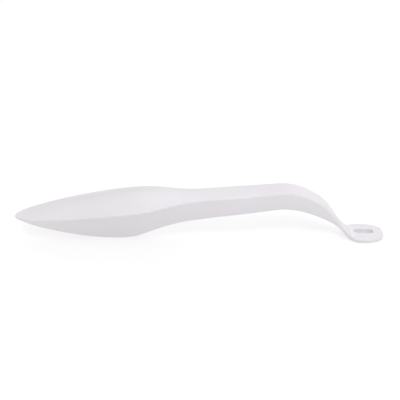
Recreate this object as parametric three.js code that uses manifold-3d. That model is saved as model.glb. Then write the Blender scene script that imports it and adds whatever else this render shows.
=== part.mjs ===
// A moulded plastic folding and creasing tool with a leaf-shaped head, an arched handle and a hang tab.
// It is two thin shells. The top shell carries the crowned palm face, the handle's top face, the neck
// and the hang tab. The keel shell is the hollow V-shaped underside that closes it from the nose to
// the bend.
// Millimetres, +Z up. X runs along the tool from the nose to the tab, and Y = 0 is the mirror plane.
// The keel and the tab both stand on Z = 0.
import * as THREE from "three";
import { mergeVertices } from "three/addons/utils/BufferGeometryUtils.js";
import Module from "manifold-3d";

const WALL = 2; // thickness of both shells
const SEAM_GAP = 0.3; // clearance between the shells, all along the seam
const TAB_TOP = 2.7; // height of the hang tab's upper face
const HEAD_EDGE_ROUND = 0.7; // radius along the head's rim
const HANDLE_EDGE_ROUND = 1.4; // radius along the handle's upper edges
const HEAD_KEEL_ROUND = 1.6; // radius along the creasing keel
const HANDLE_KEEL_ROUND = 1.8; // radius along the handle's lower edges
const FLANK_BULGE = 0.04; // swell of the handle's flanks, as a share of the section's depth
const HEAD_END_X = -30; // where the head's edges start to soften
const HANDLE_START_X = 0; // where the handle's rounder edges begin
const LIP_HEIGHT = 1.5; // the top shell's locating lip, inside the keel shell's walls
const LIP_THICKNESS = 1;
const LIP_CLEARANCE = 0.3;
const SLOT = { x: 90, length: 11, width: 4.1 }; // hang slot through the tab
const MOST_ROUND = 0.3; // no edge radius is more than this share of the section's depth
const FACE_POINTS = [0, 0.3, 0.55, 0.78]; // shares of the top face's half width
const FLANK_POINTS = [0.33, 0.67]; // shares of the keel shell's flank
const SOLE_POINTS = [0.75, 0.5, 0.25]; // shares of the sole's half width
const SKIN_POINTS = [0.7, 0.35]; // shares of the half width between the lips
const SECTIONS_PER_STATION = 2;
const LIP_INSET = 0.4; // stations from each end of the cavity to the lip
const SHOULDER = 0.03; // stations over which a solid end steps up to the skin
const END_GAP = 0.08; // stations between the keel shell's ends and those shoulders
const PLASTIC = { color: 0xf1eff1, roughness: 0.38, metalness: 0 };

// Stations from the nose to the end of the tab:
// rim x, rim height, half width at the rim, keel x, keel height, half width at the keel, crown
const STATIONS = [
  [-100.5, 13.4, 1.3, -100.3, 12, 0.8, 0], // tip of the nose
  [-98.7, 13.6, 3.7, -98.7, 11, 1.3, 0],
  [-95.2, 14, 6.4, -95.2, 9.6, 1.8, 0],
  [-90.5, 14.7, 8.5, -90.5, 7.8, 2.2, 0.1],
  [-84, 15.7, 10.4, -84, 5.8, 2.3, 0.5],
  [-74, 17.3, 12.6, -74, 3.4, 2.5, 1.4],
  [-64, 18.8, 14, -64, 1.5, 2.5, 2.5],
  [-54, 20.2, 15, -54, 0.3, 2.5, 3.5],
  [-44, 21.5, 15.5, -44, 0, 2.5, 4.2], // widest place, over the foot of the keel
  [-35, 22.5, 15.4, -35, 1.1, 2.6, 4.6], // highest place of the crown
  [-27, 23.3, 14.3, -27, 4.3, 2.9, 4.4], // heel of the keel
  [-19, 24.1, 11.9, -19, 7.7, 3.4, 3.5],
  [-10, 25, 8.8, -10, 10.8, 4.2, 1.8],
  [0, 26.1, 7.1, 0, 12.8, 4.6, 0.5], // handle begins
  [12, 27.3, 6.9, 12, 14.6, 4.8, 0],
  [26, 28.5, 6.6, 26, 16.4, 4.8, 0],
  [38, 29.6, 6.3, 38, 18.1, 4.6, 0],
  [46, 30, 6.1, 45, 18.7, 4.5, 0], // top of the arch
  [53.5, 28.6, 6, 51.2, 18.1, 4.5, 0],
  [60, 25.7, 5.9, 56.6, 16.7, 4.4, 0],
  [65.5, 22.1, 5.7, 61.8, 14.8, 4.3, 0],
  [70.5, 17.1, 5.1, 67.2, 12.2, 4, 0],
  [74.8, 11.2, 4.2, 72.8, 9, 3.5, 0], // neck
  [78.2, 7, 3.9, 76.9, 5.5, 3.4, 0],
  [81.2, 4.1, 5.4, 80.4, 1.9, 4.9, 0],
  [84.2, 2.9, 7.5, 84, 0.2, 7.1, 0],
  [88.5, 2.7, 8.4, 88.5, 0, 8, 0], // middle of the hang tab
  [93.3, 2.7, 8, 93.3, 0, 7.6, 0],
  [97.4, 2.7, 6.5, 97.4, 0, 6.1, 0],
  [99.7, 2.7, 4.5, 99.7, 0, 4.1, 0],
  [100.5, 2.7, 2.6, 100.5, 0, 2.2, 0], // end of the tab
];
const KEEL_SHELL_FIRST = 3; // station where the keel shell starts
const CAVITY_FIRST = 4;
const CAVITY_LAST = 20;
const KEEL_SHELL_LAST = 21; // station where the keel shell ends

const wasm = await Module();
wasm.setup();

// A smooth curve through two columns of the stations.
function columns(first, second) {
  return new THREE.SplineCurve(STATIONS.map((row) => new THREE.Vector2(row[first], row[second])));
}
const rimCurve = columns(0, 1);
const keelCurve = columns(3, 4);
const halfCurve = columns(2, 5);
const crownCurve = columns(0, 6);

// The cross-section at a station number, which may be fractional. Depths in it run from the rim down
// to the keel, so the crown above the rim has a negative depth.
function sectionAt(station) {
  const t = station / (STATIONS.length - 1);
  const rim = rimCurve.getPoint(t);
  const keel = keelCurve.getPoint(t);
  const half = halfCurve.getPoint(t);
  rim.y = Math.max(rim.y, TAB_TOP);
  keel.y = Math.max(keel.y, 0);
  const depth = rim.distanceTo(keel);
  const soft = THREE.MathUtils.smoothstep(rim.x, HEAD_END_X, HANDLE_START_X);
  const most = MOST_ROUND * depth;
  return {
    rim,
    down: keel.clone().sub(rim).normalize(),
    depth,
    half: half.x,
    keelHalf: half.y,
    crown: Math.max(crownCurve.getPoint(t).y, 0),
    bulge: FLANK_BULGE * soft * depth,
    edgeRound: Math.min(THREE.MathUtils.lerp(HEAD_EDGE_ROUND, HANDLE_EDGE_ROUND, soft), most),
    keelRound: Math.min(THREE.MathUtils.lerp(HEAD_KEEL_ROUND, HANDLE_KEEL_ROUND, soft), most),
  };
}

// Half width at a depth: on the straight line from rim to keel, on the bulged outer face of the flank,
// and on its straight inner face.
const straight = (s, depth) => THREE.MathUtils.lerp(s.half, s.keelHalf, depth / s.depth);
function flank(s, depth) {
  const t = depth / s.depth;
  return straight(s, depth) + 4 * s.bulge * t * (1 - t);
}
function innerFlank(s, depth) {
  const slope = (s.half - s.keelHalf) / s.depth;
  return straight(s, depth) - WALL * Math.hypot(1, slope);
}

// Direction of the flank's outer face at a depth.
function flankWay(s, depth) {
  const lean = 4 * s.bulge * (1 - (2 * depth) / s.depth);
  return new THREE.Vector2(s.keelHalf - s.half + lean, s.depth);
}

// Depth of the crowned top face at a half width.
const topAt = (s, y) => -s.crown * (1 - (y / s.half) ** 2);

// Start, middle and end of the round where two directions meet at a corner. On a sharp corner the
// radius is smaller, so that the round never reaches further than the radius along either side.
function rounded(corner, into, out, radius) {
  into.normalize();
  out.normalize();
  const turn = into.angleTo(out);
  const tight = radius / Math.max(Math.tan(turn / 2), 1);
  const inward = out.clone().addScaledVector(into, -into.dot(out)).normalize();
  const centre = new THREE.Vector2(...corner)
    .addScaledVector(into, -tight * Math.tan(turn / 2))
    .addScaledVector(inward, tight);
  const at = (angle) =>
    centre
      .clone()
      .addScaledVector(into, tight * Math.sin(angle))
      .addScaledVector(inward, -tight * Math.cos(angle))
      .toArray();
  return [at(0), at(turn / 2), at(turn)];
}

// Half outline of the top face, from the middle to the outer end of the rounded edge.
function topEdge(s) {
  const faceWay = new THREE.Vector2(1, (2 * s.crown) / s.half);
  const edge = rounded([s.half, 0], faceWay, flankWay(s, 0), s.edgeRound);
  return [...FACE_POINTS.map((k) => [k * edge[0][0], topAt(s, k * edge[0][0])]), ...edge];
}

// Half outline of the rounded keel, from the flank to the middle.
function keelEdge(s) {
  const corner = [s.keelHalf, s.depth];
  const inwards = new THREE.Vector2(-1, 0);
  return [...rounded(corner, flankWay(s, s.depth), inwards, s.keelRound), [0, s.depth]];
}

// Half outline of the top shell where it is only a skin with its locating lip.
function skinOutline(s, lipHeight) {
  const under = (y) => [y, topAt(s, y) + WALL];
  const inside = (depth) => innerFlank(s, depth) - LIP_CLEARANCE;
  const foot = WALL + lipHeight;
  const lipInner = inside(foot) - LIP_THICKNESS;
  return [
    ...topEdge(s),
    [flank(s, WALL), WALL],
    [inside(WALL), WALL],
    [inside(foot), foot],
    [lipInner, foot],
    under(lipInner),
    ...SKIN_POINTS.map((k) => under(k * lipInner)),
    under(0),
  ];
}

// Half outline of the top shell where it is solid down to the keel line: nose, neck and tab.
function solidOutline(s) {
  const keel = keelEdge(s);
  const middle = keel.pop();
  const soleHalf = keel.at(-1)[0];
  const sole = SOLE_POINTS.map((k) => [k * soleHalf, s.depth]);
  return [...topEdge(s), [flank(s, s.depth / 2), s.depth / 2], ...keel, ...sole, middle];
}

// Half outline of the keel shell before it is hollowed.
function keelOutline(s) {
  const level = WALL + SEAM_GAP;
  const keel = keelEdge(s);
  const depths = FLANK_POINTS.map((k) => THREE.MathUtils.lerp(level, keel[0][1], k));
  return [[0, level], ...[level, ...depths].map((depth) => [flank(s, depth), depth]), ...keel];
}

// Half outline of the space inside the keel shell. It reaches up past the shell's upper edge.
function cavityOutline(s) {
  const floor = s.depth - WALL;
  return [
    [0, 0],
    [innerFlank(s, 0), 0],
    [innerFlank(s, floor), floor],
    [0, floor],
  ];
}

// A half outline mirrored into a closed ring of points in space.
function ring(station, outline) {
  const s = sectionAt(station);
  const half = outline(s);
  const mirrored = half.slice(1, -1).reverse().map(([y, depth]) => [-y, depth]);
  const flat = [...half, ...mirrored].map(([y, depth]) => new THREE.Vector2(y, depth));
  const points = flat.map(
    (p) => new THREE.Vector3(s.rim.x + s.down.x * p.y, p.x, s.rim.y + s.down.y * p.y),
  );
  return { flat, points };
}

// A closed surface through rings that all have the same number of points.
function loft(rings) {
  const count = rings[0].points.length;
  const positions = rings.flatMap((r) => r.points.flatMap((p) => p.toArray()));
  const index = [];
  for (let i = 0; i < rings.length - 1; i++) {
    for (let j = 0; j < count; j++) {
      const a = i * count + j;
      const b = i * count + ((j + 1) % count);
      index.push(a, a + count, b, b, a + count, b + count);
    }
  }
  const last = (rings.length - 1) * count;
  for (const [a, b, c] of THREE.ShapeUtils.triangulateShape(rings[0].flat, [])) index.push(a, b, c);
  for (const [a, b, c] of THREE.ShapeUtils.triangulateShape(rings.at(-1).flat, [])) {
    index.push(last + a, last + c, last + b);
  }
  const geometry = new THREE.BufferGeometry();
  geometry.setAttribute("position", new THREE.Float32BufferAttribute(positions, 3));
  geometry.setIndex(index);
  return geometry;
}

// Evenly spaced station numbers from one station to another.
function steps(first, last) {
  const count = (last - first) * SECTIONS_PER_STATION;
  return Array.from({ length: count + 1 }, (_, i) => first + i / SECTIONS_PER_STATION);
}

// A closed geometry as a manifold-3d solid, and back again.
function solid(geometry) {
  const bare = geometry.clone();
  bare.deleteAttribute("normal");
  bare.deleteAttribute("uv");
  const merged = mergeVertices(bare, 1e-4);
  const vertProperties = merged.attributes.position.array;
  const triVerts = new Uint32Array(merged.index.array);
  return new wasm.Manifold(new wasm.Mesh({ numProp: 3, vertProperties, triVerts }));
}
function geometryOf(manifold) {
  const mesh = manifold.getMesh();
  const geometry = new THREE.BufferGeometry();
  geometry.setAttribute("position", new THREE.BufferAttribute(mesh.vertProperties, 3));
  geometry.setIndex(new THREE.BufferAttribute(mesh.triVerts, 1));
  geometry.computeVertexNormals();
  return geometry;
}

// The oblong prism that the hang slot removes, taller than the tab.
function slotPrism() {
  const radius = SLOT.width / 2;
  const reach = SLOT.length / 2 - radius;
  const outline = new THREE.Shape();
  outline.absarc(reach, 0, radius, -Math.PI / 2, Math.PI / 2);
  outline.absarc(-reach, 0, radius, Math.PI / 2, (3 * Math.PI) / 2);
  const prism = new THREE.ExtrudeGeometry(outline, {
    depth: 3 * TAB_TOP,
    bevelEnabled: false,
    curveSegments: 10,
  });
  return prism.translate(SLOT.x, 0, -TAB_TOP);
}

function topShell() {
  const hasLip = (u) => u > CAVITY_FIRST + LIP_INSET && u < CAVITY_LAST - LIP_INSET;
  const skin = (u) => (s) => skinOutline(s, hasLip(u) ? LIP_HEIGHT : 0);
  const [skinFirst, ...skinRest] = steps(KEEL_SHELL_FIRST, KEEL_SHELL_LAST);
  const [tailFirst, ...tailRest] = steps(KEEL_SHELL_LAST, STATIONS.length - 1);
  const rings = [
    ...steps(0, KEEL_SHELL_FIRST).map((u) => ring(u, solidOutline)),
    ring(skinFirst + SHOULDER, skin(skinFirst)),
    ...skinRest.map((u) => ring(u, skin(u))),
    ring(tailFirst + SHOULDER, solidOutline),
    ...tailRest.map((u) => ring(u, solidOutline)),
  ];
  return geometryOf(solid(loft(rings)).subtract(solid(slotPrism())));
}

function keelShell() {
  const inset = steps(KEEL_SHELL_FIRST, KEEL_SHELL_LAST);
  inset[0] += END_GAP;
  inset[inset.length - 1] -= END_GAP;
  const outer = loft(inset.map((u) => ring(u, keelOutline)));
  const cavity = loft(steps(CAVITY_FIRST, CAVITY_LAST).map((u) => ring(u, cavityOutline)));
  return geometryOf(solid(outer).subtract(solid(cavity)));
}

function piece(name, geometry) {
  const mesh = new THREE.Mesh(geometry, new THREE.MeshStandardMaterial(PLASTIC));
  mesh.name = name;
  return mesh;
}

const tool = new THREE.Group();
tool.add(piece("top_shell", topShell()));
tool.add(piece("keel_shell", keelShell()));

export default tool;
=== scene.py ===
"""A moulded white plastic folding and creasing tool, lying on a pale floor in soft studio light.

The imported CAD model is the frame. Two finely lofted shells stand for its two nodes. They follow the
same stations, with true arcs for the rounded edges and a closer seam.
"""

import math

import bpy
import numpy as np
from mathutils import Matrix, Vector


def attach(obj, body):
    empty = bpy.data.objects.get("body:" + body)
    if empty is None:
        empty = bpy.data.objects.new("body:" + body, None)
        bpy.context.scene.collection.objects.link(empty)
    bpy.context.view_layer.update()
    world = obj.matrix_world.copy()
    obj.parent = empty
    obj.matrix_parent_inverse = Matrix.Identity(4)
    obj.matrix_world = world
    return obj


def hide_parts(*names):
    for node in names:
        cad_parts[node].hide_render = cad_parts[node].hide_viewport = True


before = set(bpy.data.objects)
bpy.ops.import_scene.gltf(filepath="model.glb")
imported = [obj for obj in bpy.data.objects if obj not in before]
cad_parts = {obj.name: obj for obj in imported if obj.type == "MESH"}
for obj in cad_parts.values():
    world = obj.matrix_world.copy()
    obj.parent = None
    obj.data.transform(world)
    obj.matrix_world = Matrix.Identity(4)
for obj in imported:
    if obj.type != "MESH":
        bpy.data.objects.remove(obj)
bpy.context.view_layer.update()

MM = 0.001

# Stations from the nose to the end of the tab, in millimetres, as in the CAD:
# rim x, rim height, half width at the rim, keel x, keel height, half width at the keel, crown
STATIONS = np.array(
    [
        [-100.5, 13.4, 1.3, -100.3, 12, 0.8, 0],
        [-98.7, 13.6, 3.7, -98.7, 11, 1.3, 0],
        [-95.2, 14, 6.4, -95.2, 9.6, 1.8, 0],
        [-90.5, 14.7, 8.5, -90.5, 7.8, 2.2, 0.1],
        [-84, 15.7, 10.4, -84, 5.8, 2.3, 0.5],
        [-74, 17.3, 12.6, -74, 3.4, 2.5, 1.4],
        [-64, 18.8, 14, -64, 1.5, 2.5, 2.5],
        [-54, 20.2, 15, -54, 0.3, 2.5, 3.5],
        [-44, 21.5, 15.5, -44, 0, 2.5, 4.2],
        [-35, 22.5, 15.4, -35, 1.1, 2.6, 4.6],
        [-27, 23.3, 14.3, -27, 4.3, 2.9, 4.4],
        [-19, 24.1, 11.9, -19, 7.7, 3.4, 3.5],
        [-10, 25, 8.8, -10, 10.8, 4.2, 1.8],
        [0, 26.1, 7.1, 0, 12.8, 4.6, 0.5],
        [12, 27.3, 6.9, 12, 14.6, 4.8, 0],
        [26, 28.5, 6.6, 26, 16.4, 4.8, 0],
        [38, 29.6, 6.3, 38, 18.1, 4.6, 0],
        [46, 30, 6.1, 45, 18.7, 4.5, 0],
        [53.5, 28.6, 6, 51.2, 18.1, 4.5, 0],
        [60, 25.7, 5.9, 56.6, 16.7, 4.4, 0],
        [65.5, 22.1, 5.7, 61.8, 14.8, 4.3, 0],
        [70.5, 17.1, 5.1, 67.2, 12.2, 4, 0],
        [74.8, 11.2, 4.2, 72.8, 9, 3.5, 0],
        [78.2, 7, 3.9, 76.9, 5.5, 3.4, 0],
        [81.2, 4.1, 5.4, 80.4, 1.9, 4.9, 0],
        [84.2, 2.9, 7.5, 84, 0.2, 7.1, 0],
        [88.5, 2.7, 8.4, 88.5, 0, 8, 0],
        [93.3, 2.7, 8, 93.3, 0, 7.6, 0],
        [97.4, 2.7, 6.5, 97.4, 0, 6.1, 0],
        [99.7, 2.7, 4.5, 99.7, 0, 4.1, 0],
        [100.5, 2.7, 2.6, 100.5, 0, 2.2, 0],
    ]
)
LAST = len(STATIONS) - 1
KEEL_SHELL_FIRST, KEEL_SHELL_LAST = 3, 21  # stations where the keel shell begins and ends

# Shape, in millimetres unless it says otherwise.
TAB_TOP = 2.7
WALL = 2.0  # depth of the seam below the rim
SEAM = 0.01  # the two shells close up to a hairline
SEAM_ROUND = 0.07  # tiny radius along both edges of the seam
SHOULDER = 0.001  # stations over which a solid end steps up to the skin
END_GAP = 0.003  # stations by which each end of the keel shell stops short
FLANK_BULGE = 0.04  # swell of the handle's flanks, as a share of the section's depth
HEAD_EDGE_ROUND, HANDLE_EDGE_ROUND = 0.7, 1.4
HEAD_KEEL_ROUND, HANDLE_KEEL_ROUND = 1.6, 1.8
MOST_EDGE_ROUND, MOST_KEEL_ROUND = 0.42, 0.3  # largest radii as shares of the section's depth
MOST_SOLE_ROUND = 0.8  # and as a share of the half width at the keel
HEAD_END_X, HANDLE_START_X = -30.0, 0.0
NOSE_ROUND, TAB_END_ROUND = 1.2, 0.6
NOSE_X, TAB_END_X = STATIONS[0][0], STATIONS[-1][0]
SLOT_X, SLOT_LENGTH, SLOT_WIDTH = 90.0, 11.0, 4.1
SLOT_FLARE = 0.06  # rounding of the slot's rims
SLOT_OVERSHOOT = 1.0  # how far the slot's cutter stands clear of the tab, above and below
HELD_IN = 0.9985  # keeps the curve's swell between stations inside the CAD's size
LEAST_WIDTH = 0.05  # the share of its size that an inset ring keeps at least

# How finely the pieces are made and shaded.
RINGS_PER_STATION = 8
END_RINGS = 9  # rings in the rounded closing of each end
FACE_POINTS, ARC_POINTS, FLANK_POINTS, SOLE_POINTS = 16, 8, 12, 6
SLOT_END_POINTS, SLOT_FLARE_RINGS = 17, 6
SHARP_ANGLE = 32  # degrees between two faces above which their edge stays sharp
FACE_WEIGHT = 80  # how far large faces outweigh small ones in the shading normals

# Wear, from 0 to 1, and its reach in millimetres.
WEAR_REACH = 1.6  # how far polish and scuffs spread from an edge
NOSE_REACH = 9.0  # how far wear spreads back from the tip of the nose
HEAD_WEAR, HANDLE_WEAR = 1.0, 0.45  # the head does the folding, the handle is only held
SLOT_WEAR = 0.5

# The plastic. Relief depths are in metres.
PLASTIC_IOR = 1.49
RESIN_DEEP, RESIN_PALE = (0.697, 0.671, 0.704, 1), (0.717, 0.691, 0.7245, 1)
SCUFF = (0.55, 0.53, 0.545, 1)
SCUFF_TINT = 0.22
EVEN, ALONG_TOOL = (1, 1, 1), (0.05, 1, 1)  # how a noise is scaled along each axis
SATIN_FROM, SATIN_TO = 0.34, 0.44  # roughness of the plain surface
POLISH_DROP, SCUFF_RISE = 0.12, 0.1  # what polish takes off the roughness and scuffs add to it
SCUFFS_UNWORN = 0.12  # the share of the scuffs that shows away from the edges
SINK_STRENGTH, SINK_DEPTH = 0.3, 0.00006
GRAIN_STRENGTH, GRAIN_DEPTH = 0.06, 0.00004
STROKE_STRENGTH, STROKE_DEPTH = 0.12, 0.00002

# Floor, lamps, room and camera, in metres except the camera's own sizes.
FLOOR_SIZE, FLOOR_DROP = 60, 0.00002  # the floor lies a hair below the tool
FLOOR_GREY, FLOOR_ROUGHNESS, FLOOR_GLOW = 0.3, 0.9, 0.67
WHITE = (1, 1, 1, 1)
LIGHT_DISTANCE = 1.5
LIGHT_AIM = Vector((0, 0, 0.015))
HORIZON_FROM, HORIZON_TO = 0.055, 0.075  # sines of the elevations between which the horizon's band fades
HORIZON_GLOW, ROOM_GLOW = 0.8, 0.405  # strength of that band and of the room above it
SENSOR_WIDTH, LENS = 36, 55.51  # millimetres
CLIP_NEAR, CLIP_FAR = 0.01, 20
CAMERA_PLACE, CAMERA_TARGET = Vector((0, -0.2858, 0.18755)), Vector((0, 0, 0.02255))

# name, azimuth and elevation in degrees, power in watts, diameter in metres. Azimuth 0 is in front and
# 90 is on the right. The front lamp is small, for a crisp line of light along the rim. The powers are
# rounded from a least-squares fit to the photo's brightness, apart from fill_left's, which was then raised.
LIGHTS = [
    ("key_right", 45, 30, 5.8, 0.9),
    ("front", 0, 60, 5.9, 0.5),
    ("fill_left", 300, 60, 2.5, 0.9),
    ("rim_right", 135, 30, 3.9, 0.9),
    ("back", 180, 60, 2.9, 0.9),
    ("back_low", 180, 30, 1.1, 0.9),
    ("back_left", 225, 30, 1.5, 0.9),
    ("top", 0, 90, 1.9, 0.9),
]


def natural_spline(values):
    """Second derivatives of the natural cubic spline through values at 0, 1, 2 and so on."""
    n = len(values)
    a = np.eye(n)
    rhs = np.zeros(n)
    for i in range(1, n - 1):
        a[i, i - 1 : i + 2] = (1, 4, 1)
        rhs[i] = 6 * (values[i + 1] - 2 * values[i] + values[i - 1])
    return np.linalg.solve(a, rhs)


BENDS = np.column_stack([natural_spline(STATIONS[:, k]) for k in range(STATIONS.shape[1])])


def station_at(u):
    """Every column of the stations at a station number, which may be fractional."""
    i = min(int(u), LAST - 1)
    t = u - i
    s = 1 - t
    return (
        s * STATIONS[i]
        + t * STATIONS[i + 1]
        + ((s**3 - s) * BENDS[i] + (t**3 - t) * BENDS[i + 1]) / 6
    )


def smoothstep(x, low, high):
    """A soft change from 0 at low to 1 at high."""
    t = min(max((x - low) / (high - low), 0), 1)
    return t * t * (3 - 2 * t)


class Section:
    """The cross-section at a station. Depths run from the rim down to the keel."""

    def __init__(self, u):
        rim_x, rim_z, self.half, keel_x, keel_z, self.keel_half, self.crown = station_at(u)
        self.half *= HELD_IN
        self.rim = np.array([rim_x, max(rim_z * HELD_IN, TAB_TOP)])
        fall = np.array([keel_x, max(keel_z, 0)]) - self.rim
        self.depth = np.linalg.norm(fall)
        self.down = fall / self.depth
        soft = smoothstep(rim_x, HEAD_END_X, HANDLE_START_X)
        self.bulge = FLANK_BULGE * soft * self.depth
        edge_round = HEAD_EDGE_ROUND + (HANDLE_EDGE_ROUND - HEAD_EDGE_ROUND) * soft
        keel_round = HEAD_KEEL_ROUND + (HANDLE_KEEL_ROUND - HEAD_KEEL_ROUND) * soft
        self.edge_round = min(edge_round, MOST_EDGE_ROUND * self.depth)
        self.keel_round = min(keel_round, MOST_KEEL_ROUND * self.depth, MOST_SOLE_ROUND * self.keel_half)

    def face(self, y):
        """Depth of the top face at a half width. The crown stands above the rim."""
        return -self.crown * (1 - (y / self.half) ** 2)

    def flank(self, depth):
        """Half width of the flank at a depth."""
        t = depth / self.depth
        return self.half + (self.keel_half - self.half) * t + 4 * self.bulge * t * (1 - t)

    def flank_way(self, depth):
        """Direction of the flank at a depth, downwards."""
        lean = 4 * self.bulge * (1 - 2 * depth / self.depth)
        return np.array([self.keel_half - self.half + lean, self.depth])


def arc(corner, into, out, radius):
    """Points of a true arc between two lines that meet at a corner, tighter on a sharp corner."""
    into = into / np.linalg.norm(into)
    out = out / np.linalg.norm(out)
    turn = math.acos(float(np.clip(into @ out, -1, 1)))
    radius = radius / max(math.tan(turn / 2), 1)
    reach = radius * math.tan(turn / 2)
    inward = out - into * (into @ out)
    inward = inward / np.linalg.norm(inward)
    centre = corner - into * reach + inward * radius
    angles = np.linspace(0, turn, ARC_POINTS)
    return [centre + radius * (into * math.sin(a) - inward * math.cos(a)) for a in angles]


def top_edge(s):
    """The top face from the middle outwards, then the rounded rim."""
    corner = np.array([s.half, 0.0])
    face_way = np.array([1.0, 2 * s.crown / s.half])
    rounded = arc(corner, face_way, s.flank_way(0), s.edge_round)
    ys = np.linspace(0, 1, FACE_POINTS, endpoint=False) * rounded[0][0]
    return [np.array([y, s.face(y)]) for y in ys] + rounded


def flank_points(s, start, end):
    """Points down the flank between two depths, without its ends."""
    depths = np.linspace(start, end, FLANK_POINTS + 2)[1:-1]
    return [np.array([s.flank(d), d]) for d in depths]


def keel_edge(s):
    """The rounded keel and its sole, from the flank to the middle."""
    corner = np.array([s.keel_half, s.depth])
    rounded = arc(corner, s.flank_way(s.depth), np.array([-1.0, 0.0]), s.keel_round)
    ys = np.linspace(rounded[-1][0], 0, SOLE_POINTS + 1)[1:]
    return rounded + [np.array([y, s.depth]) for y in ys]


def solid_outline(s):
    """Nose, neck and tab: the top shell is solid down to the keel line."""
    top, keel = top_edge(s), keel_edge(s)
    return top + flank_points(s, top[-1][1], keel[0][1]) + keel


def skin_outline(s):
    """The top shell down to the seam, with a flat underside."""
    top = top_edge(s)
    corner = np.array([s.flank(WALL), WALL])
    rounded = arc(corner, s.flank_way(WALL), np.array([-1.0, 0.0]), SEAM_ROUND)
    ys = np.linspace(rounded[-1][0], 0, SOLE_POINTS + 1)[1:]
    return top + flank_points(s, top[-1][1], rounded[0][1]) + rounded + [np.array([y, WALL]) for y in ys]


def keel_outline(s):
    """The keel shell, from the middle of its upper side round to the keel."""
    level = WALL + SEAM
    corner = np.array([s.flank(level), level])
    rounded = arc(corner, np.array([1.0, 0.0]), s.flank_way(level), SEAM_ROUND)
    ys = np.linspace(0, rounded[0][0], SOLE_POINTS + 1)[:-1]
    keel = keel_edge(s)
    upper = [np.array([y, level]) for y in ys]
    return upper + rounded + flank_points(s, rounded[-1][1], keel[0][1]) + keel


def worn(s, half):
    """How much wear each point of a half outline shows, from 0 to 1: most on the rim, keel and nose."""
    edges = np.array([[s.half, 0], [s.keel_half, s.depth]])
    gaps = np.linalg.norm(half[:, None] - edges, axis=2).min(axis=1)
    on_edge = np.exp(-((gaps / WEAR_REACH) ** 2))
    on_nose = math.exp(-(((s.rim[0] - NOSE_X) / NOSE_REACH) ** 2))
    used = HEAD_WEAR + (HANDLE_WEAR - HEAD_WEAR) * smoothstep(s.rim[0], HEAD_END_X, HANDLE_START_X)
    return np.maximum(on_edge * used, on_nose)


def ring(u, outline, inset=0.0):
    """A half outline mirrored into a closed ring: x, y and z in millimetres, then wear."""
    s = Section(u)
    half = np.array(outline(s))
    wear = worn(s, half)
    if inset:
        middle = np.array([0.0, half[:, 1].mean()])
        spans = np.abs(half - middle).max(axis=0)
        half = middle + (half - middle) * np.maximum(1 - inset / spans, LEAST_WIDTH)
    mirrored = half[1:-1][::-1] * (-1, 1)
    flat = np.vstack([half, mirrored])
    x = s.rim[0] + s.down[0] * flat[:, 1]
    z = s.rim[1] + s.down[1] * flat[:, 1]
    return np.column_stack([x, flat[:, 0], z, np.append(wear, wear[1:-1][::-1])])


def steps(first, last):
    """Evenly spaced station numbers for the rings."""
    return np.linspace(first, last, (last - first) * RINGS_PER_STATION + 1)


def rounded_end(u_end, u_inner, radius):
    """Rings that close an end of the tool with a soft edge, from the outermost ring inwards."""
    span = abs(station_at(u_inner)[0] - station_at(u_end)[0])
    rings = []
    for angle in np.linspace(0, math.pi / 2, END_RINGS, endpoint=False):
        run = radius * (1 - math.cos(angle))
        inset = radius * (1 - math.sin(angle))
        u = u_end + (u_inner - u_end) * run / span
        rings.append(ring(u, solid_outline, inset))
    return rings


def loft(name, rings):
    """A closed mesh through rings that all have the same number of points."""
    count = len(rings[0])
    rows = np.vstack(rings)
    points = rows[:, :3] * MM
    faces = []
    for i in range(len(rings) - 1):
        for j in range(count):
            k = (j + 1) % count
            a, b = i * count + j, i * count + k
            faces.append((a, b, b + count, a + count))
    last = (len(rings) - 1) * count
    faces.append(tuple(range(count))[::-1])
    faces.append(tuple(last + j for j in range(count)))
    mesh = bpy.data.meshes.new(name)
    mesh.from_pydata([tuple(p) for p in points], [], faces)
    mesh.attributes.new("wear", "FLOAT", "POINT").data.foreach_set("value", rows[:, 3])
    mesh.validate()
    piece = bpy.data.objects.new(name, mesh)
    bpy.context.scene.collection.objects.link(piece)
    return piece


def apply_modifiers(piece):
    """Puts the modifiers' result in place of the piece's mesh."""
    depsgraph = bpy.context.evaluated_depsgraph_get()
    made = bpy.data.meshes.new_from_object(piece.evaluated_get(depsgraph))
    piece.modifiers.clear()
    piece.data = made


def slot_cutter():
    """An oblong prism that widens in a quarter round at both faces of the tab."""
    radius, reach = SLOT_WIDTH / 2, (SLOT_LENGTH - SLOT_WIDTH) / 2
    angles = np.linspace(-math.pi / 2, math.pi / 2, SLOT_END_POINTS)
    profile = [(SLOT_FLARE, TAB_TOP + SLOT_OVERSHOOT)]
    for a in np.linspace(0, math.pi / 2, SLOT_FLARE_RINGS):
        profile.append((SLOT_FLARE * (1 - math.sin(a)), TAB_TOP - SLOT_FLARE * (1 - math.cos(a))))
    profile += [(grow, TAB_TOP - z) for grow, z in reversed(profile)]
    rings = []
    for grow, z in profile:
        r = radius + grow
        right = [(SLOT_X + reach + r * math.cos(a), r * math.sin(a), z, SLOT_WEAR) for a in angles]
        left = [(SLOT_X - reach - r * math.cos(a), -r * math.sin(a), z, SLOT_WEAR) for a in angles]
        rings.append(np.array(right + left))
    return loft("slot_cutter", rings)


def outward(piece):
    """Turns the faces so that they point out."""
    mesh = piece.data
    mesh.calc_loop_triangles()
    co = np.array([v.co for v in mesh.vertices])
    tri = np.array([t.vertices for t in mesh.loop_triangles])
    a, b, c = co[tri[:, 0]], co[tri[:, 1]], co[tri[:, 2]]
    if np.einsum("ij,ij->i", a, np.cross(b, c)).sum() < 0:
        mesh.flip_normals()


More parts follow.
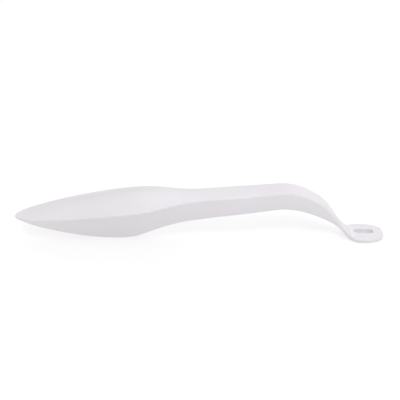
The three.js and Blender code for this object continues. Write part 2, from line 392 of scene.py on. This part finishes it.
def finish_piece(piece, node, material):
    """Shades a piece, gives it its plastic, hides the CAD node that it replaces and ties it to the body."""
    mesh = piece.data
    mesh.materials.clear()
    mesh.materials.append(material)
    mesh.polygons.foreach_set("use_smooth", [True] * len(mesh.polygons))
    mesh.set_sharp_from_angle(angle=math.radians(SHARP_ANGLE))
    weighted = piece.modifiers.new("weighted", "WEIGHTED_NORMAL")
    weighted.keep_sharp = True
    weighted.weight = FACE_WEIGHT
    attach(piece, "root")
    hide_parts(node)


def top_shell():
    """The skin and its palm face, solid at the nose, neck and tab, with the slot cut through."""
    nose_end, tab_end = NOSE_X + NOSE_ROUND, TAB_END_X - TAB_END_ROUND
    nose = [u for u in steps(0, KEEL_SHELL_FIRST) if station_at(u)[0] > nose_end]
    tail = [u for u in steps(KEEL_SHELL_LAST, LAST)[1:] if station_at(u)[0] < tab_end]
    rings = rounded_end(0, 1, NOSE_ROUND) + [ring(u, solid_outline) for u in nose]
    rings += [ring(KEEL_SHELL_FIRST + SHOULDER, skin_outline)]
    rings += [ring(u, skin_outline) for u in steps(KEEL_SHELL_FIRST, KEEL_SHELL_LAST)[1:]]
    rings += [ring(KEEL_SHELL_LAST + SHOULDER, solid_outline)]
    rings += [ring(u, solid_outline) for u in tail]
    rings += rounded_end(LAST, LAST - 1, TAB_END_ROUND)[::-1]
    piece = loft("top_shell_moulding", rings)
    outward(piece)
    cutter = slot_cutter()
    outward(cutter)
    cut = piece.modifiers.new("slot", "BOOLEAN")
    cut.object, cut.operation, cut.solver = cutter, "DIFFERENCE", "EXACT"
    apply_modifiers(piece)
    bpy.data.objects.remove(cutter)
    return piece


def keel_shell():
    """The underside below the seam, with a hairline gap at both ends."""
    places = steps(KEEL_SHELL_FIRST, KEEL_SHELL_LAST)
    places[0] += END_GAP
    places[-1] -= END_GAP
    piece = loft("keel_shell_moulding", [ring(u, keel_outline) for u in places])
    outward(piece)
    return piece


def map_range(tree, value, low, high, to_low, to_high):
    """A node that maps a value from one range to another, held within both."""
    node = tree.nodes.new("ShaderNodeMapRange")
    sockets = ("From Min", "From Max", "To Min", "To Max")
    for socket, number in zip(sockets, (low, high, to_low, to_high)):
        node.inputs[socket].default_value = number
    tree.links.new(value, node.inputs["Value"])
    return node.outputs["Result"]


def white_plastic():
    """Cool white satin plastic with moulding marks, polished and scuffed where it is worn."""
    material = bpy.data.materials.new("white_plastic")
    material.use_nodes = True
    tree = material.node_tree
    nodes, links = tree.nodes, tree.links
    shader = nodes["Principled BSDF"]
    shader.inputs["IOR"].default_value = PLASTIC_IOR
    where = nodes.new("ShaderNodeTexCoord").outputs["Object"]

    def noise(scale, detail, rough=0.5, stretch=EVEN):
        """A noise of so many features a metre, stretched along the tool where stretch says so."""
        mapping = nodes.new("ShaderNodeMapping")
        mapping.inputs["Scale"].default_value = stretch
        links.new(where, mapping.inputs["Vector"])
        node = nodes.new("ShaderNodeTexNoise")
        for socket, number in zip(("Scale", "Detail", "Roughness"), (scale, detail, rough)):
            node.inputs[socket].default_value = number
        links.new(mapping.outputs["Vector"], node.inputs["Vector"])
        return node.outputs["Fac"]

    def spread(value, low, high, to_low=0, to_high=1):
        return map_range(tree, value, low, high, to_low, to_high)

    def math_node(operation, a, b):
        """Two values, or a value and a number, put together by a math operation."""
        node = nodes.new("ShaderNodeMath")
        node.operation = operation
        for socket, value in zip(node.inputs, (a, b)):
            if isinstance(value, (int, float)):
                socket.default_value = value
            else:
                links.new(value, socket)
        return node.outputs["Value"]

    def blend(factor, a, b):
        """A mix from colour a to colour b."""
        node = nodes.new("ShaderNodeMix")
        node.data_type = "RGBA"
        for socket, value in zip(("Factor", "A", "B"), (factor, a, b)):
            if isinstance(value, tuple):
                node.inputs[socket].default_value = value
            else:
                links.new(value, node.inputs[socket])
        return node.outputs["Result"]

    # Wear: the edges' share, broken up into patches, and hairline strokes along the tool.
    attribute = nodes.new("ShaderNodeAttribute")
    attribute.attribute_name = "wear"
    wear = attribute.outputs["Fac"]
    patches = spread(noise(scale=260, detail=5, rough=0.6), low=0.38, high=0.62)
    polish = math_node("MULTIPLY", wear, patches)
    strokes = spread(noise(scale=2400, detail=3, rough=0.6, stretch=ALONG_TOOL), low=0.6, high=0.72)
    scuffs = math_node("MULTIPLY", strokes, spread(wear, low=0, high=0.8, to_low=SCUFFS_UNWORN))

    # Colour: cool white resin, slightly uneven where it filled the mould, and greyer in the scuffs.
    flow = spread(noise(scale=35, detail=3), low=0.35, high=0.65)
    resin = blend(flow, RESIN_DEEP, RESIN_PALE)
    scuffed = blend(math_node("MULTIPLY", scuffs, SCUFF_TINT), resin, SCUFF)
    links.new(scuffed, shader.inputs["Base Color"])

    # Finish: satin with soft patches from handling, glossier where paper has polished it.
    handled = noise(scale=60, detail=4)
    satin = spread(handled, low=0.3, high=0.7, to_low=SATIN_FROM, to_high=SATIN_TO)
    polished = math_node("SUBTRACT", satin, math_node("MULTIPLY", polish, POLISH_DROP))
    finish = math_node("ADD", polished, math_node("MULTIPLY", scuffs, SCUFF_RISE))
    links.new(finish, shader.inputs["Roughness"])

    # Relief: a trace of sink, the mould's fine grain, and the scuffs' shallow strokes.
    sink, grain = noise(scale=45, detail=1), noise(scale=2600, detail=2)
    layers = (
        (sink, False, SINK_STRENGTH, SINK_DEPTH),
        (grain, False, GRAIN_STRENGTH, GRAIN_DEPTH),
        (scuffs, True, STROKE_STRENGTH, STROKE_DEPTH),
    )
    relief = None
    for height, sunken, strength, depth in layers:
        bump = nodes.new("ShaderNodeBump")
        bump.invert = sunken
        bump.inputs["Strength"].default_value = strength
        bump.inputs["Distance"].default_value = depth
        links.new(height, bump.inputs["Height"])
        if relief:
            links.new(relief, bump.inputs["Normal"])
        relief = bump.outputs["Normal"]
    links.new(relief, shader.inputs["Normal"])
    return material


def floor():
    """A wide pale floor that glows a little, so that it stays nearly white around the tool."""
    bpy.ops.mesh.primitive_plane_add(size=FLOOR_SIZE, location=(0, 0, -FLOOR_DROP))
    plane = bpy.context.object
    plane.name = "floor"
    material = bpy.data.materials.new("pale_floor")
    material.use_nodes = True
    shader = material.node_tree.nodes["Principled BSDF"]
    shader.inputs["Base Color"].default_value = (FLOOR_GREY, FLOOR_GREY, FLOOR_GREY, 1)
    shader.inputs["Roughness"].default_value = FLOOR_ROUGHNESS
    shader.inputs["Emission Color"].default_value = WHITE
    shader.inputs["Emission Strength"].default_value = FLOOR_GLOW
    plane.data.materials.append(material)


def lights():
    """Large soft disks around the tool, all turned towards its middle."""
    for name, azimuth, elevation, power, size in LIGHTS:
        a, e = math.radians(azimuth), math.radians(elevation)
        way = Vector((math.sin(a) * math.cos(e), -math.cos(a) * math.cos(e), math.sin(e)))
        light = bpy.data.lights.new(name, "AREA")
        light.shape = "DISK"
        light.size = size
        light.energy = power
        lamp = bpy.data.objects.new(name, light)
        lamp.location = LIGHT_AIM + way * LIGHT_DISTANCE
        lamp.rotation_mode = "QUATERNION"
        lamp.rotation_quaternion = (-way).to_track_quat("-Z", "Y")
        bpy.context.scene.collection.objects.link(lamp)


def studio():
    """An even soft room, as pale as the far floor near the horizon."""
    world = bpy.data.worlds.new("studio")
    world.use_nodes = True
    tree = world.node_tree
    coordinates = tree.nodes.new("ShaderNodeTexCoord")
    direction = tree.nodes.new("ShaderNodeSeparateXYZ")
    tree.links.new(coordinates.outputs["Generated"], direction.inputs["Vector"])
    up = direction.outputs["Z"]
    strength = map_range(tree, up, HORIZON_FROM, HORIZON_TO, HORIZON_GLOW, ROOM_GLOW)
    background = tree.nodes["Background"]
    tree.links.new(strength, background.inputs["Strength"])
    background.inputs["Color"].default_value = WHITE
    bpy.context.scene.world = world


def camera():
    """A close camera in front of the tool, about 30 degrees above the floor."""
    data = bpy.data.cameras.new("camera")
    data.sensor_width, data.lens = SENSOR_WIDTH, LENS
    data.clip_start, data.clip_end = CLIP_NEAR, CLIP_FAR
    view = bpy.data.objects.new("camera", data)
    view.location = CAMERA_PLACE
    view.rotation_mode = "QUATERNION"
    view.rotation_quaternion = (CAMERA_TARGET - CAMERA_PLACE).to_track_quat("-Z", "Y")
    bpy.context.scene.collection.objects.link(view)
    bpy.context.scene.camera = view


plastic = white_plastic()
finish_piece(top_shell(), "top_shell", plastic)
finish_piece(keel_shell(), "keel_shell", plastic)
floor()
lights()
studio()
camera()
bpy.context.scene.view_settings.view_transform = "Standard"
